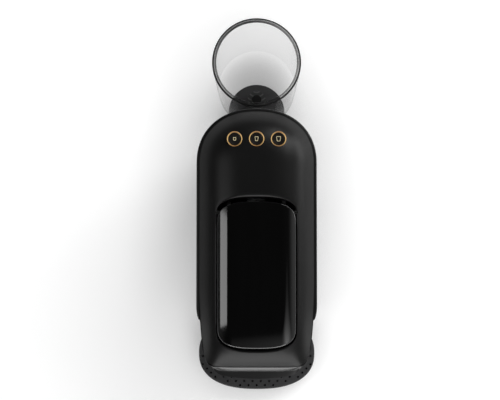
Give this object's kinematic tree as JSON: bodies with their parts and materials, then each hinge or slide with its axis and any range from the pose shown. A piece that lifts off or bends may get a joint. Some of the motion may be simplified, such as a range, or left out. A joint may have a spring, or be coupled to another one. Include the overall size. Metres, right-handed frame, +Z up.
{
  "type": "pod coffee machine",
  "caption": "Slim black pod coffee machine with a crowned top, glossy lift-up brew lever, lit cup-size buttons, perforated drip tray and a clear round water tank behind.",
  "frame": {"origin": "on the counter, under the middle of the machine's footprint", "axes": "+Z up, +Y towards the water tank at the rear, -Y towards the user, +X to the user's right"},
  "size_m": [0.1257, 0.3708, 0.2265],
  "materials": {
    "satin_black": "satin moulded",
    "gloss_black": "piano gloss",
    "grid_black": "matte moulded",
    "inner_grey": "moulded",
    "button_cap": "gloss",
    "light_ring": "translucent amber",
    "clear_tank": "clear",
    "rubber": "matte",
    "steel": "machined",
    "cast_metal": "cast",
    "silicone": "translucent",
    "board": "solder mask"
  },
  "bodies": {
    "chassis": {"base_plate": "satin_black", "rubber_feet": "rubber", "main_housing": "satin_black", "cord_gland": "rubber", "base_screws": "steel", "frame_screws": "steel", "top_cover": "satin_black", "head_front": "satin_black", "head_underside": "satin_black", "coffee_spout": "satin_black", "lever_pin": "steel", "brew_frame": "inner_grey", "outlet_plate": "steel", "pod_seal": "silicone", "injection_sleeve": "inner_grey", "outlet_pipe": "inner_grey", "pump": "cast_metal", "pump_mounts": "rubber", "flow_meter": "inner_grey", "thermoblock": "cast_metal", "suction_hose": "silicone", "pump_hose": "silicone", "pressure_hose": "silicone", "brew_hose": "silicone", "control_board": "board", "button_board": "board", "button_switches": "inner_grey", "tank_coupling": "satin_black", "coupling_seal": "rubber", "light_ring_small": "light_ring", "light_ring_medium": "light_ring", "light_ring_large": "light_ring"},
    "lever": {"lever_panel": "gloss_black", "lever_frame": "inner_grey"},
    "cage": {"pod_cage": "cast_metal", "cage_pins": "steel"},
    "button_small": {"button_small": "button_cap"},
    "button_medium": {"button_medium": "button_cap"},
    "button_large": {"button_large": "button_cap"},
    "tray": {"drip_tray": "grid_black"},
    "grid": {"drip_grid": "grid_black"},
    "bin": {"pod_bin": "satin_black", "bin_front": "satin_black"},
    "tank": {"water_tank": "clear_tank", "tank_valve": "satin_black", "valve_plunger": "satin_black"}
  },
  "joints": [
    {"name": "lever_lift", "type": "hinge", "parent": "chassis", "child": "lever", "pos_m": [0, 0, 0.2173], "axis": [-1, 0, 0], "range_deg": [0, 85]},
    {"name": "cage_slide", "type": "slide", "parent": "chassis", "child": "cage", "axis": [0, 1, 0], "range_m": [0, 0.034]},
    {"name": "press_small", "type": "slide", "parent": "chassis", "child": "button_small", "axis": [0, 0, -1], "range_m": [0, 0.0012], "stiffness_N_per_m": 400, "springref_m": -0.001},
    {"name": "press_medium", "type": "slide", "parent": "chassis", "child": "button_medium", "axis": [0, 0, -1], "range_m": [0, 0.0012], "stiffness_N_per_m": 400, "springref_m": -0.001},
    {"name": "press_large", "type": "slide", "parent": "chassis", "child": "button_large", "axis": [0, 0, -1], "range_m": [0, 0.0012], "stiffness_N_per_m": 400, "springref_m": -0.001},
    {"name": "tray_slide", "type": "slide", "parent": "chassis", "child": "tray", "axis": [0, -1, 0], "range_m": [0, 0.11]},
    {"name": "grid_lift", "type": "slide", "parent": "tray", "child": "grid", "axis": [0, 0, 1], "range_m": [0, 0.05]},
    {"name": "bin_slide", "type": "slide", "parent": "chassis", "child": "bin", "axis": [0, -1, 0], "range_m": [0, 0.11]},
    {"name": "tank_lift", "type": "slide", "parent": "chassis", "child": "tank", "axis": [0, 0, 1], "range_m": [0, 0.06]}
  ],
  "couplings": [
    {"joint": "cage_slide", "follows": "lever_lift", "m_per_rad": 0.022918}
  ]
}
